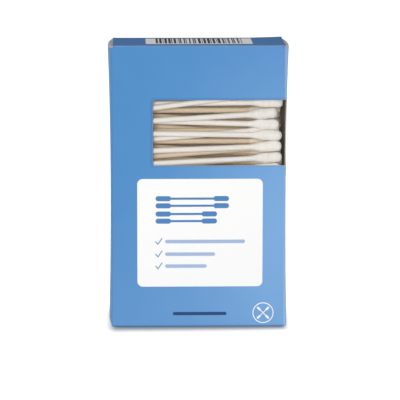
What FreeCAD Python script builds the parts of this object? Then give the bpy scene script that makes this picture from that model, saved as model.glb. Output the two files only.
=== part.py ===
"""Window carton of cotton swabs: a folded board box with a hinged tuck lid, a clear
film behind its window, and eight layers of loose swabs inside.

Millimetres. +Z is up, the front panel faces -Y, and the origin is the middle of the base.
The carton is one folded sheet, built as it is folded: flat panels joined by creases.
It is sized by what it holds: the swabs set its width and depth.
"""
import FreeCAD
import Part
import Sketcher
import math
import os
from FreeCAD import Placement, Rotation, Vector

LAYERS = 8

SIZES = {
    # Swabs
    "swab_length": 73.0,
    "stick_radius": 1.2,
    "tip_radius": 2.27,
    "tip_length": 13.8,
    "tip_root_radius": 1.4,
    "tip_shoulder": 4.6,
    "tip_nose": 3.0,
    "nose_break": 1.4,
    "nose_break_radius": 1.75,
    "nose_end_radius": 0.7,
    "tip_cap": 1.6,
    "bore_clearance": 0.02,
    # How the swabs lie
    "end_play": 4.1,
    "stagger": 0.85,
    "row_gap": 0.1,
    "nested_gap": 0.04,
    "front_gap": 0.07,
    "face_play": 0.1,
    "back_play": 0.12,
    "floor_play": 0.05,
    "headroom": 6.5,
    "swing_clearance": 0.4,
    # Board and creases
    "height": 126.2,
    "board": 0.45,
    "fold_radius": 0.9,
    "glue_flap_width": 13.0,
    "glue_flap_gap": 0.8,
    "seam_setback": 0.6,
    "back_edge_drop": 0.2,
    "bottom_tab_height": 10.0,
    "bottom_side_gap": 0.95,
    # Lid
    "lid_side_gap": 0.95,
    "lid_lift": 0.1,
    "hinge_slot_angle": 4.0,
    "tuck_length": 11.0,
    "tuck_side_gap": 0.65,
    "tuck_back_gap": 0.3,
    "tuck_corner_radius": 6.0,
    # Dust flaps
    "dust_reach": 24.0,
    "dust_front_gap": 0.5,
    "dust_back_gap": 2.4,
    "dust_corner_radius": 3.0,
    # Window and film
    "window_inset": 18.5,
    "window_base": 72.85,
    "window_height": 29.1,
    "window_wrap": 1.6,
    "window_corner_radius": 0.8,
    "film": 0.15,
    "film_margin": 4.5,
    "film_side_reach": 7.0,
}

# Swabs seen through the window. Heights of the left and right heads above the window's
# lower edge, how far each head lies behind the front layer, and the shift along X.
WINDOW_SWABS = [
    (0.0, 2.95, 0.0, 0.0, 0.3),
    (5.85, 8.05, 0.0, 0.0, 0.1),
    (14.0, 13.05, 0.0, 0.0, 0.2),
    (10.15, 15.15, 3.0, 4.4, -0.6),
    (19.1, 22.75, 0.0, 0.0, -1.8),
    (18.95, 17.9, 4.9, 0.55, -0.9),
    (24.15, 31.85, 0.0, 0.0, -0.5),
    (26.65, 27.45, 4.3, 1.9, 0.7),
    (30.15, 36.8, 0.0, 0.0, 0.4),
    (34.95, 41.5, 0.0, 0.0, -0.7),
]

# For each layer behind the front one, by how many rows its right heads lie above its left
LAYER_RISE = [1, 0, -1, 0, 1, 0, -1]

document = FreeCAD.newDocument("SwabBox")
sheet = document.addObject("Spreadsheet::Sheet", "Sizes")


class Size:
    """A number together with the sheet formula it comes from."""

    def __init__(self, value, formula):
        self.value = value
        self.formula = formula

    def join(self, other, sign, value):
        return Size(value, f"({self.formula} {sign} {other.formula})")

    def __add__(self, other):
        other = as_size(other)
        return self.join(other, "+", self.value + other.value)

    def __sub__(self, other):
        other = as_size(other)
        return self.join(other, "-", self.value - other.value)

    def __mul__(self, other):
        other = as_size(other)
        return self.join(other, "*", self.value * other.value)

    def __truediv__(self, other):
        other = as_size(other)
        return self.join(other, "/", self.value / other.value)

    def __neg__(self):
        return as_size(0) - self

    def __radd__(self, other):
        return as_size(other) + self

    def __rsub__(self, other):
        return as_size(other) - self

    def __rmul__(self, other):
        return as_size(other) * self


def as_size(value):
    return value if isinstance(value, Size) else Size(float(value), repr(float(value)))


def root(size):
    return Size(math.sqrt(size.value), f"sqrt({size.formula})")


def arcsine(size):
    """In degrees."""
    return Size(math.degrees(math.asin(size.value)), f"(asin({size.formula}) / 1 deg)")


def fill_sheet():
    """Write every driving size into its own cell and return them by name."""
    named = {}
    for row, (alias, value) in enumerate(SIZES.items(), start=1):
        sheet.set(f"A{row}", alias)
        sheet.set(f"B{row}", str(value))
        sheet.setAlias(f"B{row}", alias)
        named[alias] = Size(value, f"Sizes.{alias}")
    document.recompute()
    return named


def bind(piece, **formulas):
    for name, size in formulas.items():
        piece.setExpression(name.replace("__", "."), as_size(size).formula)


sizes = fill_sheet()

# The carton's outside, from what it holds
row_pitch = 2 * sizes["tip_radius"] + sizes["row_gap"]
nested = 2 * sizes["tip_radius"] + sizes["nested_gap"]
head_spacing = sizes["swab_length"] - sizes["tip_length"]
head_reach = sizes["tip_length"] / 2 - sizes["tip_radius"] + sizes["stagger"]
lean_drop = row_pitch * head_reach / head_spacing
nested_drop = row_pitch / 2 - lean_drop
layer_step = root(nested * nested - nested_drop * nested_drop)
front_step = 2 * sizes["tip_radius"] + sizes["front_gap"]
first_depth = sizes["board"] + sizes["film"] + sizes["face_play"] + sizes["tip_radius"]
last_depth = first_depth + front_step + (LAYERS - 2) * layer_step
depth = last_depth + sizes["tip_radius"] + sizes["back_play"] + 2 * sizes["board"]
width = sizes["swab_length"] + sizes["end_play"] + 2 * sizes["board"]
height = sizes["height"]
board = sizes["board"]
fold = sizes["fold_radius"]

right = width / 2
left = -right
back = depth / 2
front = -back
dust_top = height - board - sizes["lid_lift"]

# The lid turns about the front top edge. Its tuck flap leans in until its tip is as far
# from that edge as the fold above it, so that the whole flap swings clear of the back.
lid_back = back - board - sizes["tuck_back_gap"]
tuck_lean = arcsine((fold + sizes["tuck_length"] / 2) / (lid_back - front))
tuck_tip = height - fold - fold - sizes["tuck_length"]

RIGHTWARD = Vector(1, 0, 0)
BACKWARD = Vector(0, 1, 0)
UP = Vector(0, 0, 1)
SAME_DIRECTION = 0.99
QUARTER = 90

AXIS_FRAMES = {
    "X": Rotation(BACKWARD, UP, RIGHTWARD, "ZXY"),
    "Y": Rotation(UP, RIGHTWARD, BACKWARD, "ZXY"),
    "Z": Rotation(),
}


def block(name, x, y, z):
    """A flat piece between two limits on each axis."""
    piece = document.addObject("Part::Box", name)
    bind(piece, Length=x[1] - x[0], Width=y[1] - y[0], Height=z[1] - z[0])
    bind(piece, Placement__Base__x=x[0], Placement__Base__y=y[0], Placement__Base__z=z[0])
    return piece


def crease(name, axis, centre, start, turn=QUARTER, outer=fold, thick=board):
    """A ring sector of board, bent about an axis.

    centre gives x, y and z, with a (low, high) pair along the axis. Angles go from Y
    to Z about X, from Z to X about Y, and from X to Y about Z.
    """
    span = centre["XYZ".index(axis)]
    base = [place[0] if isinstance(place, tuple) else place for place in centre]
    rotation = AXIS_FRAMES[axis] * Rotation(UP, start)
    rings = []
    for part, radius, sweep in (("outer", outer, turn), ("inner", outer - thick, 4 * QUARTER)):
        ring = document.addObject("Part::Cylinder", f"{name}_{part}")
        ring.Placement = Placement(Vector(), rotation)
        bind(ring, Radius=radius, Height=span[1] - span[0], Angle=sweep)
        bind(ring, Placement__Base__x=base[0], Placement__Base__y=base[1], Placement__Base__z=base[2])
        rings.append(ring)
    return cut(name, *rings)


def cut(name, base, tool):
    piece = document.addObject("Part::Cut", name)
    piece.Base = base
    piece.Tool = tool
    return piece


def fuse(name, pieces):
    piece = document.addObject("Part::MultiFuse", name)
    piece.Shapes = pieces
    piece.Refine = True
    return piece


def rounded(name, base, radius, direction, axis, place):
    """Round the edges of a flat piece that run in a direction at one place on an axis."""
    document.recompute()
    piece = document.addObject("Part::Fillet", name)
    piece.Base = base
    corners = []
    for number, edge in enumerate(base.Shape.Edges, start=1):
        middle = edge.valueAt((edge.FirstParameter + edge.LastParameter) / 2)
        along = abs(edge.tangentAt(edge.FirstParameter).dot(direction))
        if along > SAME_DIRECTION and abs(getattr(middle, axis) - place) < board.value:
            corners.append((number, radius.value, radius.value))
    piece.Edges = corners
    return piece


def dust_flaps(name, fold_height, low, high, start):
    """The two flaps that fold in from the side walls, at the top or at the base."""
    flaps = []
    y = (front + board + sizes["dust_front_gap"], back - sizes["dust_back_gap"])
    wall_y = (front + fold, back - board - fold)
    for side, sign in (("left", -1), ("right", 1)):
        bend = sign * (right - fold)
        tip = sign * (right - fold - sizes["dust_reach"])
        x = (bend, tip) if sign < 0 else (tip, bend)
        flap = block(f"{side}_{name}_plate", x, y, (low, high))
        corner_radius = sizes["dust_corner_radius"]
        flaps.append(rounded(f"{side}_{name}", flap, corner_radius, UP, "x", tip.value))
        turn_start = start if sign > 0 else 3 * QUARTER - start
        flaps.append(crease(f"{side}_{name}_crease", "Y", (bend, wall_y, fold_height), turn_start))
    return flaps


def carton_sheet():
    """The walls, the closed base, the glue flap and the dust flaps, as one sheet."""
    base_z = (0 * board, board)
    wall_z = (board + fold, dust_top - fold)
    seam_back = back - board
    half_turn = (QUARTER - sizes["hinge_slot_angle"]) / 2
    lid_x = (left + sizes["lid_side_gap"], right - sizes["lid_side_gap"])
    base_x = (left + sizes["bottom_side_gap"], right - sizes["bottom_side_gap"])
    corner_z = (board + fold, height - fold)
    front_y = (front, front + board)
    tab_y = (seam_back - board, seam_back)
    glue_x = (left + fold, left + fold + sizes["glue_flap_width"])
    glue_z = (sizes["bottom_tab_height"] + board, tuck_tip - sizes["glue_flap_gap"])
    pieces = [
        block("front_panel", (left + fold, right - fold), front_y, (fold, height - fold)),
        block("right_panel", (right - board, right), (front + fold, back - fold), wall_z),
        block("left_panel", (left, left + board), (front + fold, seam_back - fold), wall_z),
        block("back_panel", (left + sizes["seam_setback"], right - fold), (seam_back, back),
              (base_z[0], height - sizes["back_edge_drop"])),
        block("glue_flap", glue_x, tab_y, glue_z),
        block("bottom_panel", base_x, (front + fold, seam_back - fold), base_z),
        block("bottom_tab", base_x, tab_y, (fold, sizes["bottom_tab_height"])),
        crease("front_right_crease", "Z", (right - fold, front + fold, corner_z), 3 * QUARTER),
        crease("front_left_crease", "Z", (left + fold, front + fold, corner_z), 2 * QUARTER),
        crease("back_right_crease", "Z", (right - fold, back - fold, wall_z), 0),
        crease("back_left_crease", "Z", (left + fold, seam_back - fold, wall_z), QUARTER),
        crease("front_top_crease", "X", (lid_x, front + fold, height - fold),
               2 * QUARTER - half_turn.value, half_turn),
        crease("front_base_crease", "X", (base_x, front + fold, fold), 2 * QUARTER),
        crease("tab_crease", "X", (base_x, seam_back - fold, fold), 3 * QUARTER),
    ]
    pieces += dust_flaps("top_dust_flap", dust_top - fold, dust_top - board, dust_top, 0)
    pieces += dust_flaps("base_dust_flap", board + fold, board, 2 * board, QUARTER)
    return fuse("carton_sheet", pieces)


def window_cutter():
    """The die-cut window, which runs past the right crease onto the side."""
    x = (left + sizes["window_inset"], right + fold)
    y = (front - fold, front + fold + sizes["window_wrap"])
    z = (sizes["window_base"], sizes["window_base"] + sizes["window_height"])
    opening = block("window_opening", x, y, z)
    corner_radius = sizes["window_corner_radius"]
    return rounded("window_cutter", opening, corner_radius, BACKWARD, "x", x[0].value)


def make_carton():
    carton = cut("carton_body", carton_sheet(), window_cutter())
    carton.Label = "carton_body"
    return carton


def make_film():
    """A clear patch on the inside of the front, bent round the right corner."""
    film = sizes["film"]
    bend = fold - board
    margin = sizes["film_margin"]
    window_top = sizes["window_base"] + sizes["window_height"]
    z = (sizes["window_base"] - margin, window_top + margin)
    flat_x = (left + sizes["window_inset"] - margin, right - fold)
    side_y = (front + fold, front + fold + sizes["film_side_reach"])
    pieces = [
        block("film_face", flat_x, (front + board, front + board + film), z),
        block("film_side", (right - board - film, right - board), side_y, z),
        crease("film_bend", "Z", (right - fold, front + fold, z), 3 * QUARTER, outer=bend, thick=film),
    ]
    patch = fuse("window_film", pieces)
    patch.Label = "window_film"
    return patch


def make_lid():
    """The top panel, half of its hinge crease, and the tuck flap behind it."""
    x = (left + sizes["lid_side_gap"], right - sizes["lid_side_gap"])
    tuck_x = (x[0] + sizes["tuck_side_gap"], x[1] - sizes["tuck_side_gap"])
    bend_y = lid_back - fold
    bend_z = height - fold
    panel = block("lid_panel", x, (front + fold, bend_y), (height - board, height))
    half_turn = (QUARTER - sizes["hinge_slot_angle"]) / 2
    hinge = crease("lid_hinge_crease", "X", (x, front + fold, bend_z), QUARTER, half_turn)
    tuck_turn = QUARTER + tuck_lean
    bend = crease("tuck_crease", "X", (tuck_x, bend_y, bend_z), -tuck_lean.value, tuck_turn)
    flap = document.addObject("Part::Box", "tuck_plate")
    bind(flap, Length=tuck_x[1] - tuck_x[0], Width=board, Height=sizes["tuck_length"])
    hanging = Rotation(RIGHTWARD, -tuck_lean.value)
    corner = hanging.multVec(Vector(0, (fold - board).value, -sizes["tuck_length"].value))
    flap.Placement = Placement(Vector(tuck_x[0].value, bend_y.value, bend_z.value) + corner, hanging)
    tip = hanging.multVec(Vector(0, fold.value, -sizes["tuck_length"].value)).z + bend_z.value
    corner_radius = sizes["tuck_corner_radius"]
    tuck = rounded("tuck_flap", flap, corner_radius, hanging.multVec(BACKWARD), "z", tip)
    lid = fuse("lid", [panel, hinge, bend, tuck])
    lid.Label = "lid"
    return lid


def make_stick():
    """A rolled paper stick along X, centred on the origin, without its cotton."""
    stick = document.addObject("Part::Cylinder", "stick_pattern")
    length = sizes["swab_length"] - 2 * sizes["tip_cap"]
    stick.Placement = Placement(Vector(), Rotation(UP, RIGHTWARD))
    bind(stick, Radius=sizes["stick_radius"], Height=length, Placement__Base__x=-length / 2)
    return stick


def make_tip():
    """A cotton bud along X with its root at the origin, wound on the end of a stick.

    Its section is a closed outline of straight edges turned about X: the bore, the root,
    the shoulder, the full width, two bands that round the nose, and the bore's end.
    """
    bore = sizes["stick_radius"] + sizes["bore_clearance"]
    bore_end = sizes["tip_length"] - sizes["tip_cap"] + sizes["bore_clearance"]
    zero = as_size(0)
    corners = [
        (zero, bore),
        (zero, sizes["tip_root_radius"]),
        (sizes["tip_shoulder"], sizes["tip_radius"]),
        (sizes["tip_length"] - sizes["tip_nose"], sizes["tip_radius"]),
        (sizes["tip_length"] - sizes["nose_break"], sizes["nose_break_radius"]),
        (sizes["tip_length"], sizes["nose_end_radius"]),
        (sizes["tip_length"], zero),
        (bore_end, zero),
        (bore_end, bore),
    ]
    body = document.addObject("PartDesign::Body", "tip_pattern")
    sketch = body.newObject("Sketcher::SketchObject", "tip_section")
    plane = next(item for item in body.Origin.OriginFeatures if item.Role == "XY_Plane")
    sketch.AttachmentSupport = [(plane, "")]
    sketch.MapMode = "FlatFace"
    points = [Vector(x.value, y.value, 0) for x, y in corners]
    for point, after in zip(points, points[1:] + points[:1]):
        sketch.addGeometry(Part.LineSegment(point, after), False)
    for edge, (x, y) in enumerate(corners):
        end = (edge, 2)
        next_start = ((edge + 1) % len(corners), 1)
        sketch.addConstraint(Sketcher.Constraint("Coincident", *end, *next_start))
        place_start(sketch, edge, x, y)
    bud = body.newObject("PartDesign::Revolution", "tip_bud")
    bud.Profile = sketch
    bud.ReferenceAxis = (sketch, ["H_Axis"])
    bud.Angle = 4 * QUARTER
    return body


def place_start(sketch, edge, x, y):
    """Hold an edge's start at x and y from the origin, or on an axis where one is zero."""
    origin = (-1, 1)
    start = (edge, 1)
    for size, kind, zero_axis in ((x, "DistanceX", -2), (y, "DistanceY", -1)):
        if size.value == 0:
            sketch.addConstraint(Sketcher.Constraint("PointOnObject", *start, zero_axis))
            continue
        held = sketch.addConstraint(Sketcher.Constraint(kind, *origin, *start, size.value))
        sketch.setExpression(f"Constraints[{held}]", size.formula)


# Swabs closer than this count as touching
TOUCH = 0.01
NEARLY_ZERO = 1e-9
STAGGER_TURN = 2.4


class Swab:
    """One swab, by the middle points of its two heads."""

    def __init__(self, left_z, right_z, left_y, right_y, shift):
        reach = head_spacing.value / 2
        start = Vector(-reach, left_y, left_z)
        end = Vector(reach, right_y, right_z)
        self.direction = (end - start).normalize()
        self.centre = (start + end) / 2 + self.direction * shift
        self.top = max(left_z, right_z) + sizes["tip_radius"].value

    def point(self, along):
        return self.centre + self.direction * along

    def capsules(self):
        """The stick and both heads as (start, end, radius)."""
        radius = sizes["tip_radius"].value
        end = sizes["swab_length"].value / 2
        head = (end - sizes["tip_length"].value + sizes["tip_shoulder"].value, end - radius)
        return [
            (self.point(-end), self.point(end), sizes["stick_radius"].value),
            (self.point(head[0]), self.point(head[1]), radius),
            (self.point(-head[0]), self.point(-head[1]), radius),
        ]

    def clear_of(self, other):
        for a, b, first_radius in self.capsules():
            for c, d, second_radius in other.capsules():
                if segment_gap(a, b, c, d) < first_radius + second_radius + TOUCH:
                    return False
        return True


def segment_gap(a, b, c, d):
    """The least distance between the segments a-b and c-d."""
    u = b - a
    v = d - c
    w = a - c
    uu, uv, vv, uw, vw = u.dot(u), u.dot(v), v.dot(v), u.dot(w), v.dot(w)
    crossing = uu * vv - uv * uv
    along = min(max((uv * vw - vv * uw) / crossing, 0), 1) if crossing > NEARLY_ZERO else 0
    across = min(max((uv * along + vw) / vv, 0), 1)
    along = min(max((uv * across - uw) / uu, 0), 1)
    return ((a + u * along) - (c + v * across)).Length


def front_layer():
    """The swabs against the film: even rows below and above the ones seen in the window."""
    plane = (front + first_depth).value
    lowest = (2 * board + sizes["floor_play"] + sizes["tip_radius"]).value
    base = sizes["window_base"].value
    first_left, first_right = WINDOW_SWABS[0][:2]
    last_left, last_right = WINDOW_SWABS[-1][:2]
    swabs = []
    rows_below = int((base + first_left - lowest) / row_pitch.value)
    for row in range(rows_below):
        share = row / rows_below
        left_z = lowest + share * (base + first_left - lowest)
        right_z = lowest + share * (base + first_right - lowest)
        swabs.append(Swab(left_z, right_z, plane, plane, stagger(row)))
    for left_z, right_z, left_y, right_y, shift in WINDOW_SWABS:
        swabs.append(Swab(base + left_z, base + right_z, plane + left_y, plane + right_y, shift))
    for row in range(1, int((height.value - base - last_left) / row_pitch.value)):
        rise = row * (row_pitch + sizes["row_gap"]).value
        swabs.append(Swab(base + last_left + rise, base + last_right + rise, plane, plane, stagger(row)))
    return swabs


def back_layer(number):
    """One of the nested layers behind the front one."""
    plane = (front + first_depth + front_step + (number - 1) * layer_step).value
    lowest = (2 * board + sizes["floor_play"] + sizes["tip_radius"]).value
    half = number % 2 / 2
    rise = LAYER_RISE[number - 1]
    swabs = []
    for row in range(int(height.value / row_pitch.value)):
        left_row = row + half + max(-rise, 0)
        right_row = row + half + max(rise, 0)
        left_z = lowest + left_row * row_pitch.value
        right_z = lowest + right_row * row_pitch.value
        swabs.append(Swab(left_z, right_z, plane, plane, stagger(row + 3 * number)))
    return swabs


def stagger(number):
    """How far a swab lies to one side, uneven but repeatable."""
    return sizes["stagger"].value * math.sin(STAGGER_TURN * number + number * number)


def swing_reach():
    """The least distance from the hinge line to the tuck flap's inner face."""
    hinge = Vector(0, front.value, height.value)
    bend = Vector(0, (lid_back - fold).value, (height - fold).value)
    hanging = Rotation(RIGHTWARD, -tuck_lean.value)
    top = bend + hanging.multVec(Vector(0, (fold - board).value, 0))
    tip = top + hanging.multVec(Vector(0, 0, -sizes["tuck_length"].value))
    along = (hinge - top).dot(tip - top) / (tip - top).dot(tip - top)
    return (top + (tip - top) * along - hinge).Length


def clear_of_lid(swab):
    """Whether a swab leaves the headroom free and stays out of the tuck flap's swing."""
    clearance = sizes["swing_clearance"].value
    room = (dust_top - board - sizes["headroom"]).value
    reach = math.hypot(swab.centre.y - front.value, height.value - swab.top)
    inside = reach + sizes["tip_radius"].value + clearance < swing_reach()
    below = swab.top + clearance < tuck_tip.value
    return swab.top <= room and (inside or below)


def lay_swabs():
    """Lay the layers from the front, leaving out a swab that would touch one already laid."""
    laid = []
    layers = []
    for number in range(LAYERS):
        candidates = front_layer() if number == 0 else back_layer(number)
        layer = []
        for swab in candidates:
            if clear_of_lid(swab) and all(swab.clear_of(other) for other in laid):
                laid.append(swab)
                layer.append(swab)
        layers.append(layer)
    return layers


def moved(shape, base, direction, axis):
    copy = shape.copy()
    copy.Placement = Placement(base, Rotation(axis, direction))
    return copy


def group(label, shapes):
    piece = document.addObject("Part::Feature", label)
    piece.Shape = Part.makeCompound(shapes)
    piece.Label = label
    return piece


def make_swabs(stick, tip):
    """A node of sticks and one of cotton tips at each end, for every layer."""
    half_stick = stick.Height.Value / 2
    tip_start = (sizes["swab_length"] / 2 - sizes["tip_length"]).value
    nodes = []
    for number, layer in enumerate(lay_swabs(), start=1):
        sticks = []
        tips = {-1: [], 1: []}
        for swab in layer:
            sticks.append(moved(stick.Shape, swab.point(-half_stick), swab.direction, UP))
            for side in tips:
                outward = swab.direction * side
                base = swab.centre + outward * tip_start
                tips[side].append(moved(tip.Shape, base, outward, RIGHTWARD))
        nodes.append(group(f"swab_sticks_layer_{number}", sticks))
        nodes.append(group(f"left_cotton_tips_layer_{number}", tips[-1]))
        nodes.append(group(f"right_cotton_tips_layer_{number}", tips[1]))
    return nodes


def check_document():
    for item in document.Objects:
        if "Invalid" in item.State or "Error" in item.State:
            raise RuntimeError(f"{item.Label} failed: {item.State}")


def write_nodes(nodes):
    for node in nodes:
        if node.Shape.isNull() or not node.Shape.isValid():
            raise RuntimeError(f"{node.Label} has no valid shape")
    os.makedirs("parts", exist_ok=True)
    for node in nodes:
        node.Shape.exportStep(f"parts/{node.Label}.step")


carton_pieces = [make_carton(), make_film(), make_lid()]
stick_pattern = make_stick()
tip_pattern = make_tip()
document.recompute()
check_document()
swab_nodes = make_swabs(stick_pattern, tip_pattern)
document.recompute()
check_document()
write_nodes(carton_pieces + swab_nodes)
for node in carton_pieces + swab_nodes:
    shape = node.Shape
    print(f"{node.Label}: {len(shape.Solids)} solids, {shape.Volume:.1f} mm3, {shape.BoundBox}")
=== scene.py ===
"""Looks for a printed paperboard box of cotton swabs with a die-cut window.

Lengths below are in millimetres, as in the part's source, and become metres when a mesh is made.
"""

import math

import bpy
import numpy as np
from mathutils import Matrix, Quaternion, Vector


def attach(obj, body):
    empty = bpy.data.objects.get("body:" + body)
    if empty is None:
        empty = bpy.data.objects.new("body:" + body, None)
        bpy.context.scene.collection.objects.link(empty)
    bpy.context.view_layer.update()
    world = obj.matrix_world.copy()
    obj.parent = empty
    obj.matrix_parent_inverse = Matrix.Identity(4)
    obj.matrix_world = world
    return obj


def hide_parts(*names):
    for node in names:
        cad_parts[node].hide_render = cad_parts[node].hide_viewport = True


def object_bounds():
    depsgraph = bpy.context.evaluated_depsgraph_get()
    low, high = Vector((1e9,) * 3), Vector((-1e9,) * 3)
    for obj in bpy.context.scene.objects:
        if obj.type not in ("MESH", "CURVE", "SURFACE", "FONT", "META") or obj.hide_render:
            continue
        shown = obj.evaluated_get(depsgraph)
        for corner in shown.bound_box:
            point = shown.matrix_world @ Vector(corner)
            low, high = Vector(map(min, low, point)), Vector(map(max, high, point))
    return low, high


MM = 0.001

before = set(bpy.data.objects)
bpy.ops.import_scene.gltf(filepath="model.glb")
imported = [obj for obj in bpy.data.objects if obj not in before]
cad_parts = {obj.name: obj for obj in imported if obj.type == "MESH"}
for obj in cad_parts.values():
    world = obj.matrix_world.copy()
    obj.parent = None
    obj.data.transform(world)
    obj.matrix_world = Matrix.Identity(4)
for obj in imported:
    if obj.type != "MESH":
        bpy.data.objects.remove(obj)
cad_low, cad_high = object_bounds()

BOARD = 0.45
FOLD = 0.9
LEFT = cad_low.x / MM
RIGHT = cad_high.x / MM
FRONT = cad_low.y / MM
BACK = cad_high.y / MM
TOP = cad_high.z / MM
SEAM_BACK = BACK - BOARD
SEAM_EDGE = LEFT + 0.6
LAYERS = 8
GLUE_FLAP = (10.45, 113.5)
GLUE_FLAP_WIDTH = 13.0
BACK_EDGE = TOP - 0.2
DUST_TOP = TOP - 0.55
DUST_REACH = 24.0
DUST_BACK = BACK - 2.4
DUST_CORNER = 3.0
WALL = (BOARD + FOLD, DUST_TOP - FOLD)
TAB_TOP = 10.0
WINDOW = (72.85, 101.95)
WINDOW_LEFT = LEFT + 18.5
WINDOW_CORNER = 0.8
WINDOW_WRAP = FRONT + FOLD + 1.6
CREASE_STEPS = 7
HINGE_HALF_TURN = 43


class Wire:
    """One value in a material's node tree; an expression on it adds the Math nodes."""

    def __init__(self, finish, socket):
        self.finish = finish
        self.socket = socket

    def math(self, operation, *others, clamp=False):
        settings = {"operation": operation, "use_clamp": clamp}
        return self.finish.node("Math", settings, dict(enumerate((self, *others))))

    def __add__(self, other):
        return self.math("ADD", other)

    def __sub__(self, other):
        return self.math("SUBTRACT", other)

    def __mul__(self, other):
        return self.math("MULTIPLY", other)

    def __truediv__(self, other):
        return self.math("DIVIDE", other)

    def __neg__(self):
        return self.math("MULTIPLY", -1)

    def __rsub__(self, other):
        return (-self).math("ADD", other)

    def __abs__(self):
        return self.math("ABSOLUTE")

    def __gt__(self, other):
        return self.math("GREATER_THAN", other)

    def __lt__(self, other):
        return self.math("LESS_THAN", other)

    __radd__ = __add__

    def clamped(self):
        return self.math("ADD", 0, clamp=True)


class Finish:
    """A material: constants sit on its shader, and what varies is worked out by nodes."""

    def __init__(self, name, **constants):
        self.material = bpy.data.materials.new(name)
        self.material.use_nodes = True
        self.tree = self.material.node_tree
        self.shader = self.tree.nodes["Principled BSDF"]
        for socket, value in constants.items():
            self.shader.inputs[socket.replace("_", " ")].default_value = value

    def node(self, kind, settings=None, sockets=None, output=0):
        """Add any node: its settings first, then the values or links of its sockets."""
        node = self.tree.nodes.new("ShaderNode" + kind)
        for name, value in (settings or {}).items():
            setattr(node, name, value)
        for name, value in (sockets or {}).items():
            if isinstance(value, Wire):
                self.tree.links.new(value.socket, node.inputs[name])
            else:
                node.inputs[name].default_value = value
        return Wire(self, node.outputs[output])

    def place(self):
        """The point on the piece as a vector, and as x, y and z, in millimetres."""
        at = self.node("TexCoord", output="Object")
        scaled = self.node("VectorMath", {"operation": "SCALE"}, {0: at, "Scale": 1 / MM})
        return scaled, *(self.node("SeparateXYZ", None, {0: scaled}, output=i) for i in range(3))

    def noise(self, at, scale, detail=2.0, roughness=0.5):
        sockets = {"Vector": at, "Scale": scale, "Detail": detail, "Roughness": roughness}
        return self.node("TexNoise", None, sockets)

    def stretched(self, at, x, y, z):
        return self.node("VectorMath", {"operation": "MULTIPLY"}, {0: at, 1: (x, y, z)})

    def mix(self, factor, under, over):
        """Lay one colour over another where factor is 1."""
        settings = {"data_type": "RGBA"}
        return self.node("Mix", settings, {0: factor, 6: under, 7: over}, output=2)

    def bump(self, height, depth, strength=1.0, normal=None):
        """Raise the surface by height, where depth in millimetres stands for 1."""
        sockets = {"Height": height, "Distance": depth * MM, "Strength": strength}
        if normal is not None:
            sockets["Normal"] = normal
        return self.node("Bump", None, sockets)

    def feed(self, **wires):
        for socket, wire in wires.items():
            self.tree.links.new(wire.socket, self.shader.inputs[socket.replace("_", " ")])
        return self.material


def paint(code):
    """A colour from its six hex digits, in linear light."""
    parts = [int(code[i : i + 2], 16) / 255 for i in (0, 2, 4)]
    return (*(p / 12.92 if p <= 0.04045 else ((p + 0.055) / 1.055) ** 2.4 for p in parts), 1.0)


def hypot(a, b):
    return (a * a + b * b).math("SQRT")


def lowest(wires):
    first = wires[0]
    for wire in wires[1:]:
        first = first.math("MINIMUM", wire)
    return first


def bar_gap(x, z, across, up, radius=0.0):
    """How far a point is outside a bar with round corners: past its inner box, less the radius."""
    past_x = abs(x - sum(across) / 2) - ((across[1] - across[0]) / 2 - radius)
    past_z = abs(z - sum(up) / 2) - ((up[1] - up[0]) / 2 - radius)
    return hypot(past_x.math("MAXIMUM", 0), past_z.math("MAXIMUM", 0)) - radius


def stroke_gap(x, z, start, end, thick):
    """How far a point is outside a pen stroke from start to end with round ends."""
    run = (end[0] - start[0], end[1] - start[1])
    away_x = x - start[0]
    away_z = z - start[1]
    along = ((away_x * run[0] + away_z * run[1]) / (run[0] ** 2 + run[1] ** 2)).clamped()
    return hypot(away_x - along * run[0], away_z - along * run[1]) - thick / 2


def swab_gap(x, z, start, end, stick, tip, tip_length):
    """How far a point is outside a drawn swab: a thin stroke with a thick short one at each end."""
    length = math.dist(start, end)
    share = tip_length / length
    inner = [tuple(a + (b - a) * part for a, b in zip(start, end)) for part in (share, 1 - share)]
    tips = [stroke_gap(x, z, start, inner[0], tip), stroke_gap(x, z, inner[1], end, tip)]
    return lowest([stroke_gap(x, z, start, end, stick), *tips])


# The marks on the front. Runs go from low to high, first in x and then in z.
INK_SOFTNESS = 0.12
LABEL = ((-27.5, 28.2), (18.3, 66.9))
LABEL_CORNER = 2.4
HEADLINE = (((-19.4, 13.2), 56.45), ((-19.4, 7.9), 49.55))
DRAWN_STICK = 1.0
DRAWN_TIP = 2.3
DRAWN_TIP_LENGTH = 4.6
DRAWN_PITCH = 3.2
ROW_START = -14.4
ROW_LEVELS_AND_ENDS = ((38.7, 20.4), (33.0, 7.1), (27.6, 3.3))
ROW_THICKNESS = 1.6
TICK_START = -19.3
TICK_HEIGHT = 2.6
TICK_DROP = 1.2
TICK_STROKE = 0.5
FOOT_LINE = ((-11.0, 5.95), (11.5, 5.95))
FOOT_LINE_THICKNESS = 1.5
RING_MIDDLE = (28.6, 6.2)
RING_RADIUS = 4.5
RING_THICKNESS = 0.4
EMBLEM_REACH = 2.3
EMBLEM_STICK = 0.35
EMBLEM_TIP = 0.95
EMBLEM_TIP_LENGTH = 1.1

# The marks on the lid. Runs go from low to high, first in x and then in y.
FIELD = ((-23.5, 23.9), (FRONT + 6.7, FRONT + 30.7))
FIELD_CORNER = 0.5
BARS = ((-19.0, 19.8), (FRONT + 9.5, FRONT + 30.7))
BARS_CORNER = 0.2
BAR_WAVES = ((2.9, 1.0), (4.7, 0.7), (7.9, 0.8))
BAR_LEVEL = -0.1


def inked(gap):
    """1 inside a mark and 0 outside it, with an edge that is a little soft."""
    return (0.5 - gap / INK_SOFTNESS).clamped()


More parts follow.
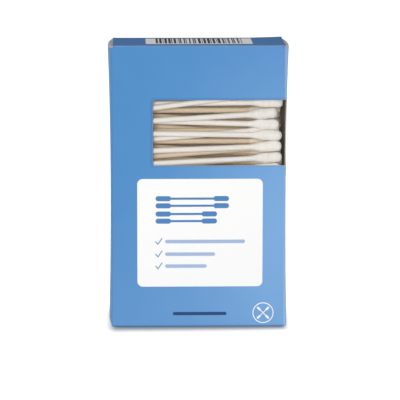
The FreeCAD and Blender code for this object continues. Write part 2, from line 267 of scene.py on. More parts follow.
def drawn_pair(x, z, across, level):
    """Two swabs lying level, one above the other, in the place of a line of the label."""
    pair = []
    for side in (-1, 1):
        height = level + side * DRAWN_PITCH / 2
        start = (across[0] + DRAWN_TIP / 2, height)
        end = (across[1] - DRAWN_TIP / 2, height)
        pair.append(swab_gap(x, z, start, end, DRAWN_STICK, DRAWN_TIP, DRAWN_TIP_LENGTH))
    return lowest(pair)


def tick_gap(x, z, low_x, low_z):
    """A check mark: a short stroke down and a long one up."""
    start = (low_x, low_z + TICK_HEIGHT * 0.42)
    foot = (low_x + TICK_HEIGHT * 0.36, low_z)
    end = (low_x + TICK_HEIGHT * 1.05, low_z + TICK_HEIGHT)
    short = stroke_gap(x, z, start, foot, TICK_STROKE)
    return lowest([short, stroke_gap(x, z, foot, end, TICK_STROKE)])


def emblem_gap(x, z):
    """A thin ring round two crossed swabs."""
    from_middle = hypot(x - RING_MIDDLE[0], z - RING_MIDDLE[1])
    marks = [abs(from_middle - RING_RADIUS) - RING_THICKNESS / 2]
    for side in (1, -1):
        start = (RING_MIDDLE[0] - side * EMBLEM_REACH, RING_MIDDLE[1] - EMBLEM_REACH)
        end = (RING_MIDDLE[0] + side * EMBLEM_REACH, RING_MIDDLE[1] + EMBLEM_REACH)
        marks.append(swab_gap(x, z, start, end, EMBLEM_STICK, EMBLEM_TIP, EMBLEM_TIP_LENGTH))
    return lowest(marks)


def uneven_bars(x, y):
    """Bars of uneven widths, where the sum of three sines is high. They code for nothing."""
    beat = 0
    for pace, weight in BAR_WAVES:
        beat = (x * pace).math("SINE") * weight + beat
    return (beat > BAR_LEVEL) * inked(bar_gap(x, y, *BARS, BARS_CORNER))


INK = paint("4c8cc7")
SHEEN_LIT_INK = paint("80afe1")
LABEL_BLUE = paint("4f86c0")
ROW_BLUE = paint("a9bee0")
TICK_BLUE = paint("7797ca")
WEAR_AND_HIGHLIGHT_INK = paint("c3d6ee")
DARK_BLUE = paint("2b4a7c")
LID_SHADE_BLUE = paint("2a62b4")
WHITE_INK = paint("fefefd")
BAR_BLACK = paint("26282c")

# How the ink varies: its mottle, the painted shade that darkens the lid, and the painted sheen that
# lightens the front
INK_MOTTLE = 0.12
# Painted shade on the lid, as a share of a darker blue
LID_SHADE_SHARE = 0.35
SHEEN_MIDDLE = (43, 40)
SHEEN_REACH = (43, 70)
BASE_SHEEN = 0.4

# How much ink is rubbed off at the window's cut edge, and how strong the painted highlights on the
# top fold and the right fold are
CUT_WEAR = 0.45
CUT_WEAR_WIDTH = 0.4
TOP_FOLD_HIGHLIGHT = 0.1
SIDE_FOLD_HIGHLIGHT = 0.45
SIDE_FOLD_HIGHLIGHT_START = RIGHT - FOLD * 1.8


def painted_sheen(x, z, on_front):
    """Painted sheen: how far the front's blue is lightened, as by a glossy reflection, in a round
    patch low on the right and a band at the base.

    The patch is e to the minus squared distance from its middle, in shares of its reach. The
    band grows with the cube of the depth below the top.
    """
    across = (x - SHEEN_MIDDLE[0]) / SHEEN_REACH[0]
    up = (z - SHEEN_MIDDLE[1]) / SHEEN_REACH[1]
    patch = (-(across * across + up * up)).math("EXPONENT")
    base = (1 - z / TOP).clamped()
    band = base * base * base * BASE_SHEEN
    return (1 - (1 - patch) * (1 - band)) * on_front


def worn_cut_and_lit_folds(x, y, z, on_front):
    """Where the ink is rubbed off at the window's cut edge, and the painted highlights on the top
    fold and the right fold.
    """
    from_window = bar_gap(x, z, (WINDOW_LEFT, RIGHT + FOLD), WINDOW, WINDOW_CORNER)
    cut = (1 - from_window / CUT_WEAR_WIDTH).clamped() * on_front
    near_front = y < FRONT + FOLD
    top = ((z - (TOP - FOLD)) / FOLD).clamped() * near_front
    side = ((x - SIDE_FOLD_HIGHLIGHT_START) / FOLD).clamped() * near_front
    return (cut * CUT_WEAR + top * TOP_FOLD_HIGHLIGHT + side * SIDE_FOLD_HIGHLIGHT).clamped()


def make_printed_board():
    """Varnished board: blue ink, a label of plain marks, paper grain, a worn window edge, and painted
    sheen, shade and fold highlights.
    """
    finish = Finish("printed_board", Specular_IOR_Level=0.15)
    at, x, y, z = finish.place()
    on_front = y < FRONT + FOLD / 2
    on_lid = (z > TOP - FOLD / 2) * (y > FRONT + FOLD / 2)
    mottle = finish.noise(at, scale=0.09, detail=3.0)
    # Painted sheen: the front's blue is mixed towards a paler blue where a glossy reflection would
    # lighten it
    sheen_share = painted_sheen(x, z, on_front)
    colour = finish.mix((sheen_share + (mottle - 0.5) * INK_MOTTLE).clamped(), INK, SHEEN_LIT_INK)
    # Painted shade: the lid is mixed towards a darker blue, for the lesser light that falls on the
    # top
    colour = finish.mix(on_lid * LID_SHADE_SHARE, colour, LID_SHADE_BLUE)
    label = inked(bar_gap(x, z, *LABEL, LABEL_CORNER)) * on_front
    colour = finish.mix(label, colour, WHITE_INK)
    headline = [drawn_pair(x, z, across, level) for across, level in HEADLINE]
    colour = finish.mix(inked(lowest(headline)) * on_front, colour, LABEL_BLUE)
    rows = []
    ticks = []
    for level, end in ROW_LEVELS_AND_ENDS:
        row_end = (end - ROW_THICKNESS / 2, level)
        rows.append(stroke_gap(x, z, (ROW_START, level), row_end, ROW_THICKNESS))
        ticks.append(tick_gap(x, z, TICK_START, level - TICK_DROP))
    colour = finish.mix(inked(lowest(rows)) * on_front, colour, ROW_BLUE)
    colour = finish.mix(inked(lowest(ticks)) * on_front, colour, TICK_BLUE)
    foot_line = stroke_gap(x, z, *FOOT_LINE, FOOT_LINE_THICKNESS)
    colour = finish.mix(inked(foot_line) * on_front, colour, DARK_BLUE)
    colour = finish.mix(inked(emblem_gap(x, z)) * on_front, colour, WHITE_INK)
    field = bar_gap(x, y, *FIELD, FIELD_CORNER)
    colour = finish.mix(inked(field) * on_lid, colour, WHITE_INK)
    colour = finish.mix(uneven_bars(x, y) * on_lid, colour, BAR_BLACK)
    # Worn ink at the window's cut edge, and painted highlights on the top and right folds
    colour = finish.mix(worn_cut_and_lit_folds(x, y, z, on_front), colour, WEAR_AND_HIGHLIGHT_INK)
    grain = finish.noise(at, scale=2.2, detail=4.0, roughness=0.6)
    rough = 0.46 + grain * 0.16
    waves = finish.bump(mottle, depth=0.25, strength=0.25)
    normal = finish.bump(grain, depth=0.02, strength=0.35, normal=waves)
    return finish.feed(Base_Color=colour, Roughness=rough, Normal=normal)


def make_raw_board(name, clean, dusty):
    """Unprinted board: short fibres of two tones and a matt felt surface."""
    finish = Finish(name, Specular_IOR_Level=0.25)
    at, _, _, _ = finish.place()
    along = finish.stretched(at, 1.0, 1.0, 3.5)
    fibre = finish.noise(along, scale=1.4, detail=5.0, roughness=0.65)
    cloud = finish.noise(at, scale=0.16)
    colour = finish.mix(((fibre - 0.5) * 1.6 + cloud).clamped(), clean, dusty)
    rough = 0.75 + fibre * 0.2
    normal = finish.bump(fibre, depth=0.03, strength=0.5)
    return finish.feed(Base_Color=colour, Roughness=rough, Normal=normal)


def make_paper_stick(name, clean, shaded):
    """A stick of rolled paper: its seam winds round it, where a sine along the stick is high."""
    finish = Finish(name, Specular_IOR_Level=0.2)
    at, x, y, z = finish.place()
    along = finish.stretched(at, 0.35, 2.0, 2.0)
    fibre = finish.noise(along, scale=1.6, detail=4.0, roughness=0.6)
    wind = ((x * 0.55 + z * 2.4 + y * 1.3) + fibre * 1.5).math("SINE")
    seam = ((wind - 0.9) * 8.0).clamped()
    tone = ((fibre - 0.45) * 1.2 + seam * 0.35).clamped()
    colour = finish.mix(tone, clean, shaded)
    rough = 0.62 + fibre * 0.2
    normal = finish.bump(fibre * 0.5 - seam * 0.5, depth=0.03, strength=0.6)
    return finish.feed(Base_Color=colour, Roughness=rough, Normal=normal)


def make_cotton(name, clean, shaded):
    """Bleached cotton wound round the stick: fine crossing fibres and soft lumps."""
    finish = Finish(
        name,
        Roughness=0.95,
        Specular_IOR_Level=0.1,
        Sheen_Weight=0.35,
        Sheen_Roughness=0.6,
        Subsurface_Weight=0.35,
        Subsurface_Radius=(0.0016, 0.0014, 0.0012),
        Subsurface_Scale=1.0,
    )
    at, _, _, _ = finish.place()
    lumps = finish.noise(at, scale=0.7)
    crossing = finish.stretched(at, 2.4, 0.9, 0.9)
    fine = finish.noise(crossing, scale=1.1, detail=5.0, roughness=0.65)
    winding = finish.noise(finish.stretched(at, 1.6, 0.25, 0.25), scale=1.0)
    tone = lumps * 0.5 + (fine - 0.5) * 0.9 + (winding - 0.5) * 1.4
    colour = finish.mix(tone.clamped(), clean, shaded)
    lumpy = finish.bump(lumps, depth=0.35, strength=0.5)
    wound = finish.bump(winding, depth=0.3, strength=0.5, normal=lumpy)
    normal = finish.bump(fine, depth=0.12, strength=0.6, normal=wound)
    return finish.feed(Base_Color=colour, Normal=normal)


# Where the film bends round the right corner: a half-clear haze, coloured as painted shade
FILM_BEND = RIGHT - BOARD - 0.4
FILM_BEND_WIDTH = 0.3
FILM_HAZE_AND_SHADE = 0.5


def make_clear_film():
    """Thin clear film: nearly all light passes, but its bend round the right corner is hazy, and that
    haze's grey-brown is painted shade in the tone of the shaded board edge.
    """
    finish = Finish("clear_film", Roughness=0.1, Base_Color=paint("a8a097"))
    at, x, _, _ = finish.place()
    ripple = finish.noise(finish.stretched(at, 0.4, 1.0, 1.0), scale=0.12, detail=1.0)
    haze_and_shade = ((x - FILM_BEND) / FILM_BEND_WIDTH).clamped() * FILM_HAZE_AND_SHADE
    normal = finish.bump(ripple, depth=0.4, strength=0.3)
    return finish.feed(Normal=normal, Alpha=ripple * 0.05 + haze_and_shade + 0.01)


PRINTED = make_printed_board()
INSIDE = make_raw_board("grey_board_inside", paint("c4bbb0"), paint("aaa095"))
EDGE = make_raw_board("cut_board_edge", paint("f4f3f1"), paint("dcd9d4"))
# The dust flaps' unprinted board, greyed: painted shade for where they lie beside the lid, turned
# from the light
FLAP = make_raw_board("grey_shaded_flap_board", paint("cdcdd0"), paint("b8b8bb"))
# Painted shade: the layers behind the first take darker, warmer copies of the paper and the cotton,
# for the warm shade deep among the swabs
STICK = make_paper_stick("white_paper_stick", paint("f7f3ed"), paint("ebe2d5"))
DEEP_SHADE_STICK = make_paper_stick("deep_shade_paper_stick", paint("e7d6bb"), paint("d6bb93"))
COTTON = make_cotton("wound_cotton", paint("fbf8f3"), paint("ebe3d7"))
DEEP_SHADE_COTTON = make_cotton("deep_shade_cotton", paint("f6ead5"), paint("e6d3b6"))
FILM = make_clear_film()

# The order of the carton's materials, as their faces call them
BOARD_FINISHES = (PRINTED, INSIDE, EDGE, FLAP)
PRINT_LOOK, INSIDE_LOOK, EDGE_LOOK, FLAP_LOOK = range(4)


class Sheet:
    """Grids of points that join where their edges meet, made one mesh at the end."""

    def __init__(self):
        self.points = []
        self.quads = []
        self.looks = []
        self.count = 0

    def add(self, grid, keep=None, look=PRINT_LOOK):
        """Add a grid of points; keep says which of its squares stay, look gives their material."""
        rows, columns = grid.shape[:2]
        index = self.count + np.arange(rows * columns).reshape(rows, columns)
        corners = [index[:-1, :-1], index[1:, :-1], index[1:, 1:], index[:-1, 1:]]
        squares = np.stack(corners, axis=-1)
        stays = np.ones(squares.shape[:2], bool) if keep is None else keep
        self.points.append(grid.reshape(-1, 3))
        self.quads.append(squares[stays])
        self.looks.append(np.full(int(stays.sum()), look) if np.isscalar(look) else look[stays])
        self.count += rows * columns

    def mesh(self, name, bend):
        """Join equal points, bend them by the given function, and fill a mesh."""
        points = np.concatenate(self.points)
        _, first, same = np.unique(
            np.round(points, 3), axis=0, return_index=True, return_inverse=True
        )
        quads = same.reshape(-1)[np.concatenate(self.quads)]
        return filled_mesh(name, bend(points[first]), quads, np.concatenate(self.looks))


def filled_mesh(name, points, quads, looks=None):
    """A mesh from points in millimetres and four-cornered faces; unused points are left out."""
    used, quads = np.unique(quads, return_inverse=True)
    quads = quads.reshape(-1, 4)
    mesh = bpy.data.meshes.new(name)
    mesh.vertices.add(len(used))
    mesh.vertices.foreach_set("co", (points[used] * MM).astype(np.float32).ravel())
    mesh.loops.add(quads.size)
    mesh.loops.foreach_set("vertex_index", quads.astype(np.int32).ravel())
    mesh.polygons.add(len(quads))
    mesh.polygons.foreach_set("loop_start", np.arange(0, quads.size, 4, dtype=np.int32))
    if looks is not None:
        mesh.polygons.foreach_set("material_index", looks.astype(np.int32))
    mesh.update(calc_edges=True)
    mesh.validate()
    mesh.shade_smooth()
    return mesh


def new_piece(mesh, body, slot, *materials):
    """An object at the origin for a finished mesh, which rides on a body."""
    piece = bpy.data.objects.new(mesh.name, mesh)
    bpy.context.scene.collection.objects.link(piece)
    for material in materials:
        mesh.materials.append(material)
    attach(piece, body)
    return piece


def steps(pitch, *marks):
    """Places from the first mark to the last, on every mark and no further apart than pitch."""
    runs = [marks[:1]]
    for start, end in zip(marks, marks[1:]):
        count = max(1, math.ceil(abs(end - start) / pitch))
        runs.append(np.linspace(start, end, count + 1)[1:])
    return np.concatenate(runs)


def arc(centre, start, end):
    """Points round a crease from one angle to another, in degrees."""
    turn = np.radians(np.linspace(start, end, CREASE_STEPS))
    return np.stack([centre[0] + FOLD * np.cos(turn), centre[1] + FOLD * np.sin(turn)], axis=1)


def line(start, end, pitch=3.0):
    """Points along a straight run between two places."""
    share = steps(pitch, 0.0, math.dist(start, end)) / math.dist(start, end)
    return np.asarray(start) + share[:, None] * (np.asarray(end) - np.asarray(start))


def joined(*runs):
    """One path out of several runs, without the points that they share."""
    path = np.concatenate(runs)
    fresh = np.r_[True, np.linalg.norm(np.diff(path, axis=0), axis=1) > BOARD / 100]
    return path[fresh]


def corner_rise(distance, radius):
    """How far a cut edge has turned at a distance from its end: r less root of r*r - (r-d)^2."""
    inner = np.clip(radius - distance, 0, radius)
    return radius - np.sqrt(radius * radius - inner * inner)


def wall_grid(path, heights):
    """Upright board over a path seen from above, with one row of points for each height."""
    grid = np.empty((len(path), len(heights), 3))
    grid[..., :2] = path[:, None, :]
    grid[..., 2] = heights
    return grid


def outside_window(grid, is_beside):
    """Which squares are not in the window, where is_beside tells it for a square's middle."""
    middle = (grid[:-1, :-1] + grid[1:, 1:]) / 2
    level = (middle[..., 2] > WINDOW[0]) & (middle[..., 2] < WINDOW[1])
    return ~(level & is_beside(middle))


def beside_window(middle):
    """Whether places on the front panel are right of the window's left edge."""
    return (middle[..., 0] > WINDOW_LEFT) & (middle[..., 1] < FRONT + FOLD)


def before_wrap(middle):
    """Whether places are as near to the front as the window's strip on the right side."""
    return middle[..., 1] < WINDOW_WRAP


WALL_PITCH = 2.4
FRONT_PITCH = 2.6
CORNER_FADE = 1.5
SLIP = BOARD / 10
WALL_ROWS = steps(
    WALL_PITCH,
    WALL[0],
    GLUE_FLAP[0],
    WINDOW[0] - CORNER_FADE,
    WINDOW[0],
    WINDOW[1],
    WINDOW[1] + CORNER_FADE,
    GLUE_FLAP[1],
    WALL[1],
)


def front_grid():
    """The front with its bottom panel and tab: one path, from the tab under the box and up.

    Rows beside the window's left corners move towards its middle by corner_rise, and that move
    fades over the length CORNER_FADE.
    """
    marks = WINDOW_LEFT + WINDOW_CORNER * np.array([0, 0.08, 0.3, 0.6, 1])
    x = steps(FRONT_PITCH, LEFT + FOLD, WINDOW_LEFT - CORNER_FADE, *marks, RIGHT - FOLD)
    lower = joined(
        line((SEAM_BACK, TAB_TOP), (SEAM_BACK, FOLD)),
        arc((SEAM_BACK - FOLD, FOLD), 0, -90),
        line((SEAM_BACK - FOLD, 0), (FRONT + FOLD, 0)),
        arc((FRONT + FOLD, FOLD), 270, 180),
    )
    upright = np.stack([np.full(len(WALL_ROWS), FRONT), WALL_ROWS], axis=1)
    crease = arc((FRONT + FOLD, TOP - FOLD), 180, 180 - HINGE_HALF_TURN)
    path = joined(lower, upright, crease)
    grid = np.empty((len(x), len(path), 3))
    grid[..., 0] = x[:, None]
    grid[..., 1:] = path
    rise = corner_rise(np.abs(x - WINDOW_LEFT), WINDOW_CORNER)
    left_fade = np.clip(1 - (WINDOW_LEFT - x) / CORNER_FADE, 0, 1)
    rise = np.where(x < WINDOW_LEFT, rise.max() * left_fade, rise)
    for level, sign in zip(WINDOW, (1, -1)):
        beyond = (level - grid[..., 2]) * sign
        fade = np.clip(1 - np.abs(beyond) / CORNER_FADE, 0, 1) * (beyond > -SLIP)
        upright_part = np.abs(grid[..., 1] - FRONT) < SLIP
        grid[..., 2] += sign * rise[:, None] * fade * upright_part
    return grid


def side_grid(sign):
    """One side wall with its dust flaps: one path, from the base flap up and over to the top one.

    The flaps' inner corners are rounded by corner_rise. The left wall's columns run towards the
    front, so that both walls face outwards.
    """
    wall_back = SEAM_BACK - FOLD if sign < 0 else BACK - FOLD
    fold_back = SEAM_BACK - FOLD
    marks = [FRONT + FOLD, WINDOW_WRAP, FRONT + FOLD + DUST_CORNER, DUST_BACK - DUST_CORNER]
    marks += [DUST_BACK - DUST_CORNER / 3, DUST_BACK, fold_back]
    if wall_back > fold_back:
        marks.append(wall_back)
    y = steps(WALL_PITCH, *marks)[::sign]
    bend = RIGHT - FOLD
    tip = bend - DUST_REACH
    path = joined(
        line((tip, BOARD), (bend, BOARD)),
        arc((bend, WALL[0]), 270, 360),
        np.stack([np.full(len(WALL_ROWS), RIGHT), WALL_ROWS], axis=1),
        arc((bend, WALL[1]), 0, 90),
        line((bend, DUST_TOP), (tip, DUST_TOP)),
    )
    grid = np.empty((len(y), len(path), 3))
    grid[..., 0] = path[:, 0]
    grid[..., 1] = y[:, None]
    grid[..., 2] = path[:, 1]
    end = np.minimum(y - FRONT - FOLD, np.abs(DUST_BACK - y))
    share = np.clip((bend - path[:, 0]) / DUST_REACH, 0, 1)
    grid[..., 0] += corner_rise(end, DUST_CORNER)[:, None] * share
    middle = (grid[:-1, :-1] + grid[1:, 1:]) / 2
    flap = middle[..., 0] < bend
    crease = (middle[..., 2] < WALL[0]) | (middle[..., 2] > WALL[1])
    keep = ~(flap & (middle[..., 1] > DUST_BACK)) & ~(crease & (middle[..., 1] > fold_back))
    if sign > 0:
        keep &= outside_window(grid, before_wrap)
    grid[..., 0] *= sign
    # The top crease and dust flap take the greyed board, which paints their shade
    look = np.where(middle[..., 2] > WALL[1] + FOLD * 0.3, FLAP_LOOK, PRINT_LOOK)
    return grid, keep, look


def round_foot(grid, centre_x):
    """Close the foot of a front corner: its ring shrinks as a ball does, below one fold radius."""
    below = np.clip(FOLD - grid[..., 2], 0, FOLD) / FOLD
    centre = np.array([centre_x, FRONT + FOLD])
    grid[..., :2] = centre + (grid[..., :2] - centre) * np.sqrt(1 - below**2)[..., None]
    return grid


# How far the box is out of true, in pairs for its left and right or for its base and top
SIDE_BOW = (0.55, 0.35)
END_BOW = (0.6, 0.95)
PINCH = (0.15, 0.6)
PANEL_BELLY = 0.25


def slack(points):
    """How a filled box is out of true: its sides belly out between the folds, most near the top
    and the base, and its front folds are pinched at half height.

    A side moves out by (1 - d*d) * bow, where d runs from -1 to 1 over the depth, and the move
    fades towards the middle with the cube of the distance from it. The front and the back move
    out by a cosine over the width, and that move fades inwards with the eighth power of d.
    """
    x, y, z = points.T
    half = (z / TOP) * 2 - 1
    depth_share = np.clip(y / BACK, -1, 1)
    bow = np.where(x < 0, *SIDE_BOW) + np.where(half < 0, *END_BOW) * half * half
    pinch = np.where(x < 0, *PINCH) * (1 - half * half)
    side = np.sign(x) * np.abs(x / RIGHT) ** 3
    moved_x = x + side * ((1 - depth_share**2) * bow - pinch)
    belly = PANEL_BELLY * (1 - half * half) * np.cos(x / RIGHT * math.pi / 2)
    moved_y = y + np.sign(y) * np.abs(depth_share) ** 8 * belly
    return np.stack([moved_x, moved_y, z], axis=1)


def make_printed_carton():
    """The whole carton as one board sheet, from the glue flap round to the back panel's seam."""
    sheet = Sheet()
    front_panel = front_grid()
    sheet.add(front_panel, outside_window(front_panel, beside_window))
    foot_rows = FOLD - FOLD * np.cos(np.linspace(0, math.pi / 2, CREASE_STEPS))
    corner_rows = np.r_[foot_rows, WALL_ROWS, TOP - FOLD]
    left_corner = wall_grid(arc((LEFT + FOLD, FRONT + FOLD), 180, 270), corner_rows)
    sheet.add(round_foot(left_corner, LEFT + FOLD))
    right_corner = wall_grid(arc((RIGHT - FOLD, FRONT + FOLD), 270, 360), corner_rows)
    right_corner = round_foot(right_corner, RIGHT - FOLD)
    sheet.add(right_corner, outside_window(right_corner, before_wrap))
    for sign in (-1, 1):
        sheet.add(*side_grid(sign))
    sheet.add(wall_grid(arc((RIGHT - FOLD, BACK - FOLD), 0, 90), WALL_ROWS))
    back_rows = np.r_[0.0, WALL_ROWS, BACK_EDGE]
    sheet.add(wall_grid(line((RIGHT - FOLD, BACK), (SEAM_EDGE, BACK)), back_rows))
    sheet.add(wall_grid(arc((LEFT + FOLD, SEAM_BACK - FOLD), 90, 180), WALL_ROWS))
    beside_flap = (WALL_ROWS > GLUE_FLAP[0] - SLIP) & (WALL_ROWS < GLUE_FLAP[1] + SLIP)
    glue_rows = WALL_ROWS[beside_flap]
    flap_run = line((LEFT + FOLD + GLUE_FLAP_WIDTH, SEAM_BACK), (LEFT + FOLD, SEAM_BACK))
    sheet.add(wall_grid(flap_run, glue_rows))
    piece = new_piece(
        sheet.mesh("printed_carton", slack), "carton", "printed_board", *BOARD_FINISHES
    )
    thicken(piece)
    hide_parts("carton_body")


def thicken(piece):
    """Give a board sheet its thickness on the inside, with a pale cut edge."""
    wall = piece.modifiers.new("board_thickness", "SOLIDIFY")
    wall.thickness = BOARD * MM
    wall.offset = -1
    wall.use_even_offset = True
    wall.material_offset = INSIDE_LOOK
    wall.material_offset_rim = EDGE_LOOK


LID_BACK = BACK - BOARD - 0.3
LID_SIDE = RIGHT - 0.95
TUCK_SIDE = LID_SIDE - 0.65
TUCK_LENGTH = 11.0
TUCK_CORNER = 6.0
TUCK_LEAN = math.degrees(math.asin((FOLD + TUCK_LENGTH / 2) / (LID_BACK - FRONT)))
LID_PITCH = 3.0
TUCK_PITCH = 1.5
TUCK_END_STEPS = 7
LID_DIP = 0.22
LID_LIFT = 0.45


def lid_slack(points):
    """The lid dips a little along its middle, and its right back corner stands proud."""
    x, y, z = points.T
    across = x / LID_SIDE
    back_share = np.clip((y - FRONT) / (LID_BACK - FRONT), 0, 1)
    dip = LID_DIP * (1 - across**2) * back_share
    lift = LID_LIFT * np.clip(across, 0, 1) ** 3 * back_share**3
    return np.stack([x, y, z - dip + lift], axis=1)


def make_printed_lid():
    """The lid as one board sheet: its half of the hinge crease, the panel, and the tuck flap.

    The flap's length shortens towards its ends by corner_rise.
    """
    bend = (LID_BACK - FOLD, TOP - FOLD)
    turn = math.radians(-TUCK_LEAN)
    flap_start = np.array([bend[0] + FOLD * math.cos(turn), bend[1] + FOLD * math.sin(turn)])
    hanging = np.array([math.sin(turn), -math.cos(turn)])
    above = joined(
        arc((FRONT + FOLD, TOP - FOLD), 90 + HINGE_HALF_TURN, 90),
        line((FRONT + FOLD, TOP), (bend[0], TOP)),
    )
    flap_end = flap_start + TUCK_LENGTH * hanging
    behind = joined(arc(bend, 90, -TUCK_LEAN), line(flap_start, flap_end, TUCK_PITCH))
    x = steps(LID_PITCH, -LID_SIDE, -LID_SIDE + TUCK_CORNER, LID_SIDE - TUCK_CORNER, LID_SIDE)
    ends = TUCK_CORNER * (1 - np.cos(np.linspace(0, math.pi / 2, TUCK_END_STEPS)))
    x = np.unique(np.round(np.concatenate([x, ends - LID_SIDE, LID_SIDE - ends]), 4))
    panel = np.empty((len(x), len(above), 3))
    panel[..., 0] = x[:, None]
    panel[..., 1:] = above
    tuck = np.empty((len(x), len(behind), 3))
    tuck[..., 0] = x[:, None] * (TUCK_SIDE / LID_SIDE)
    tuck[..., 1:] = behind
    short = corner_rise(TUCK_SIDE - np.abs(tuck[:, 0, 0]), TUCK_CORNER)
    reach = np.clip(((behind - flap_start) @ hanging) / TUCK_LENGTH, 0, 1)
    tuck[..., 1:] -= (short[:, None] * reach)[..., None] * hanging
    whole = np.concatenate([panel, tuck[:, 1:]], axis=1)
    sheet = Sheet()
    sheet.add(whole)
    piece = new_piece(
        sheet.mesh("printed_lid", lid_slack), "lid", "printed_board", *BOARD_FINISHES[:3]
    )
    thicken(piece)
    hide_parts("lid")


def solids_of(node):
    """The separate solids of a CAD node, each as its own corner points in millimetres.

    Corners at one place get one number. Each triangle hands its lowest number to its corners,
    again and again, until every solid has one number throughout.
    """
    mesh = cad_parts[node].data
    points = np.empty(len(mesh.vertices) * 3, np.float32)
    mesh.vertices.foreach_get("co", points)
    mesh.calc_loop_triangles()
    triangles = np.empty(len(mesh.loop_triangles) * 3, np.int32)
    mesh.loop_triangles.foreach_get("vertices", triangles)
    points, same = np.unique(
        np.round(points.reshape(-1, 3).astype(float) / MM, 4), axis=0, return_inverse=True
    )
    corners = same.reshape(-1)[triangles.reshape(-1, 3)]
    number = np.arange(len(points))
    while True:
        low = number[corners].min(axis=1)
        spread = number.copy()
        np.minimum.at(spread, corners, np.repeat(low[:, None], 3, axis=1))
        spread = spread[spread]
        if np.array_equal(spread, number):
            break
        number = spread
    return [points[number == n] for n in np.unique(number)]


def long_axis(points, outward):
    """A round solid's outer end and the direction from it along its axis, inwards."""
    middle = points.mean(axis=0)
    direction = np.linalg.svd(points - middle, full_matrices=False)[2][0]
    direction = direction * np.sign(direction[0]) * -outward
    along = (points - middle) @ direction
    return middle + along.min() * direction, direction, along.max() - along.min()


TIP_RADIUS = 2.3
ROOT_RADIUS = 1.26
NOSE = 2.8
NOSE_POWER = 2.6
SHOULDER = 6.2

# How finely a tip is made: its points around and its rings, when it can be seen and when not
FINE_LAYERS = 3
VIEW_MARGIN = 5
FINE_RINGS = (40, 34)
PLAIN_RINGS = (10, 9)


def tip_radius(along, length):
    """The tip's outline: a blunt superellipse nose, a full middle and a smooth waist to the stick."""
    nose = np.clip(1 - along / NOSE, 0, 1)
    full = (1 - nose**NOSE_POWER) ** (1 / NOSE_POWER)
    waist = np.clip((along - (length - SHOULDER)) / SHOULDER, 0, 1)
    waist = waist * waist * (3 - 2 * waist)
    return TIP_RADIUS * full * (1 - waist) + ROOT_RADIUS * waist


# Each slow wave of a tip's radius: its crests round a ring, its pace along the tip, its depth
TIP_WAVES = ((1, 0.55, 0.022), (2, -0.8, 0.018), (0, 1.1, 0.015))
TIP_SLIMMING = 0.01
RING_CROWDING = 0.35
CROWDING_POWER = 2.2


def tip_points(tip, around, rings, chance):
    """One wound tip as rings of points carried along its axis, closest together at its nose.

    Its radius varies by the sum of the waves' sines, each from its own random start: the first
    puts a ring off centre, the second makes it oval, and the last swells and thins the tip.
    """
    end, direction, length = tip
    share = np.linspace(0, 1, rings)
    along = length * (RING_CROWDING * share**CROWDING_POWER + (1 - RING_CROWDING) * share)
    turn = np.linspace(0, 2 * math.pi, around, endpoint=False)
    starts = chance.uniform(0, 2 * math.pi, len(TIP_WAVES))
    wave = -TIP_SLIMMING
    for (crests, pace, depth), start in zip(TIP_WAVES, starts):
        wave = wave + np.sin(crests * turn + along[:, None] * pace + start) * depth
    radius = tip_radius(along, length)[:, None] * (1 + wave)
    level = np.cross(direction, [0, 0, 1.0])
    level /= np.linalg.norm(level)
    upward = np.cross(level, direction)
    ring = np.cos(turn)[:, None] * level + np.sin(turn)[:, None] * upward
    return end + along[:, None, None] * direction + radius[..., None] * ring


def tube_quads(rings, around):
    """Faces between rings of points, wound so that they look outwards."""
    here = np.arange(rings - 1)[:, None] * around + np.arange(around)
    beside = np.arange(rings - 1)[:, None] * around + (np.arange(around) + 1) % around
    return np.stack([here, here + around, beside + around, beside], axis=-1).reshape(-1, 4)


def make_tips(layer):
    """The cotton tips of one layer; those behind the window are the finest."""
    chance = np.random.default_rng(layer)
    points = []
    quads = []
    count = 0
    for side, outward in (("left", -1), ("right", 1)):
        for solid in solids_of(f"{side}_cotton_tips_layer_{layer}"):
            tip = long_axis(solid, outward)
            level = tip[0][2]
            beside = WINDOW[0] - VIEW_MARGIN < level < WINDOW[1] + VIEW_MARGIN
            in_view = outward > 0 and layer <= FINE_LAYERS and beside
            around, rings = FINE_RINGS if in_view else PLAIN_RINGS
            made = tip_points(tip, around, rings, chance)
            points.append(made.reshape(-1, 3))
            quads.append(tube_quads(rings, around) + count)
            count += around * rings
    mesh = filled_mesh(f"wound_cotton_tips_{layer}", np.concatenate(points), np.concatenate(quads))
    piece = new_piece(mesh, "carton", "cotton", COTTON if layer == 1 else DEEP_SHADE_COTTON)
    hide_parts(f"left_cotton_tips_layer_{layer}", f"right_cotton_tips_layer_{layer}")


def dress(node, material):
    """Give a CAD node that stays its finished material."""
    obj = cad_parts[node]
    for slot in obj.material_slots:
        slot.material = material


make_printed_carton()
make_printed_lid()
# Swabs behind the front layer get the painted-shade copies of the paper and the cotton
for layer in range(1, LAYERS + 1):
    make_tips(layer)
    dress(f"swab_sticks_layer_{layer}", STICK if layer == 1 else DEEP_SHADE_STICK)
dress("window_film", FILM)


# Each lamp's name, place, size and power; places in the studio are in metres
LAMPS = (
    ("front_lamp", (-0.18, -1.36, 0.28), 0.35, 12.1),
    ("right_lamp", (1.1, 0.7, 0.35), 0.8, 9.2),
    ("left_lamp", (-1.1, 0.7, 0.35), 0.8, 5.0),
)
LAMPS_AIM = Vector((0, 0, 0.06))
AIR_LIGHT = 0.34
FLOOR_HALF = 3.0
FLOOR_GLOW = 0.95
SHADOW_WIDTH = 9.2
SHADOW_SLOPE = 0.03
SHADOW_END = RIGHT - 2.5
SHADOW_TAPER = 2.6


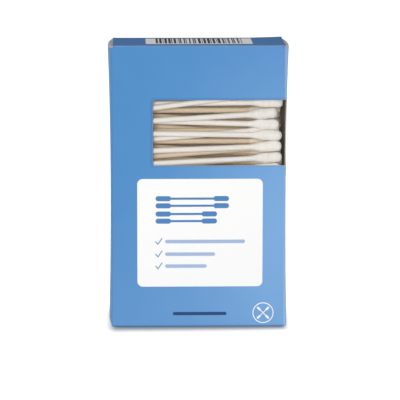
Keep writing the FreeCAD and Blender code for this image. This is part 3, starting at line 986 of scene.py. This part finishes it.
def make_studio():
    """A floor with a contact shadow, air that looks white but lights little, and three lamps.

    The floor's glow is for the eye, for gloss and for the look through the film. It fades
    towards the box as 1 less e to the minus squared distance, in shares of the shadow's width.
    Past the box's sides the distance counts more, which tapers the shadow's ends.
    """
    finish = Finish("studio_floor", Roughness=0.9, Specular_IOR_Level=0.1)
    at, x, y, _ = finish.place()
    cloud = finish.noise(at, scale=0.01)
    finish.feed(Base_Color=finish.mix(cloud, paint("bebebe"), paint("bababa")))
    seen = 0
    for ray in ("Is Camera Ray", "Is Glossy Ray", "Is Transmission Ray"):
        seen = finish.node("LightPath", output=ray) + seen
    seen = seen.clamped()
    past_side = ((abs(x) - SHADOW_END) * SHADOW_TAPER).math("MAXIMUM", 0)
    ahead = (abs(y) - BACK).math("MAXIMUM", 0)
    away = hypot(past_side, ahead) / (SHADOW_WIDTH - x * SHADOW_SLOPE)
    shown = seen * FLOOR_GLOW * (1 - (-(away * away)).math("EXPONENT"))
    glow = finish.node("Emission", None, {"Color": (1, 1, 1, 1), "Strength": shown})
    mixed = finish.node("AddShader", None, {0: Wire(finish, finish.shader.outputs[0]), 1: glow})
    output = finish.tree.nodes["Material Output"]
    finish.tree.links.new(mixed.socket, output.inputs["Surface"])
    quarters = ((-1, -1), (1, -1), (1, 1), (-1, 1))
    corners = [(i * FLOOR_HALF, j * FLOOR_HALF, 0) for i, j in quarters]
    mesh = bpy.data.meshes.new("studio_floor")
    mesh.from_pydata(corners, [], [(0, 1, 2, 3)])
    mesh.materials.append(finish.material)
    floor = bpy.data.objects.new("studio_floor", mesh)
    bpy.context.scene.collection.objects.link(floor)

    world = bpy.data.worlds.new("studio_air")
    bpy.context.scene.world = world
    world.use_nodes = True
    air = world.node_tree
    path = air.nodes.new("ShaderNodeLightPath")
    shade = air.nodes["Background"]
    shade.inputs["Color"].default_value = (1, 1, 1, 1)
    plain = air.nodes.new("ShaderNodeMath")
    plain.operation = "MAXIMUM"
    air.links.new(path.outputs["Is Camera Ray"], plain.inputs[0])
    air.links.new(path.outputs["Is Transmission Ray"], plain.inputs[1])
    level = air.nodes.new("ShaderNodeMapRange")
    level.inputs["To Min"].default_value = AIR_LIGHT
    level.inputs["To Max"].default_value = 1.0
    air.links.new(plain.outputs[0], level.inputs["Value"])
    air.links.new(level.outputs[0], shade.inputs["Strength"])

    for name, place, size, power in LAMPS:
        light = bpy.data.lights.new(name, "AREA")
        light.shape = "SQUARE"
        light.size = size
        light.energy = power
        lamp = bpy.data.objects.new(name, light)
        bpy.context.scene.collection.objects.link(lamp)
        lamp.location = place
        lamp.rotation_euler = (LAMPS_AIM - Vector(place)).to_track_quat("-Z", "Y").to_euler()


CAMERA_PLACE = (-0.0316, -1.13955, 0.2454)
CAMERA_YAW = 1.631
CAMERA_PITCH = 9.512
CAMERA_ROLL = 0.084
SENSOR_WIDTH = 36.0
LENS_LENGTH = 230.8


def make_camera():
    """A long lens a little over a metre in front, looking slightly down and to the right."""
    data = bpy.data.cameras.new("camera")
    data.sensor_width = SENSOR_WIDTH
    data.lens = LENS_LENGTH
    camera = bpy.data.objects.new("camera", data)
    bpy.context.scene.collection.objects.link(camera)
    camera.location = CAMERA_PLACE
    yaw = math.radians(CAMERA_YAW)
    pitch = math.radians(CAMERA_PITCH)
    level = math.cos(pitch)
    looking = Vector((math.sin(yaw) * level, math.cos(yaw) * level, -math.sin(pitch)))
    turned = looking.to_track_quat("-Z", "Y") @ Quaternion((0, 0, 1), math.radians(CAMERA_ROLL))
    camera.rotation_euler = turned.to_euler()
    bpy.context.scene.camera = camera


# Light gets into the gaps between the swabs by many bounces
MAX_BOUNCES = 20
DIFFUSE_BOUNCES = 14

make_studio()
make_camera()
bpy.context.scene.view_settings.view_transform = "Standard"
bpy.context.scene.cycles.max_bounces = MAX_BOUNCES
bpy.context.scene.cycles.diffuse_bounces = DIFFUSE_BOUNCES
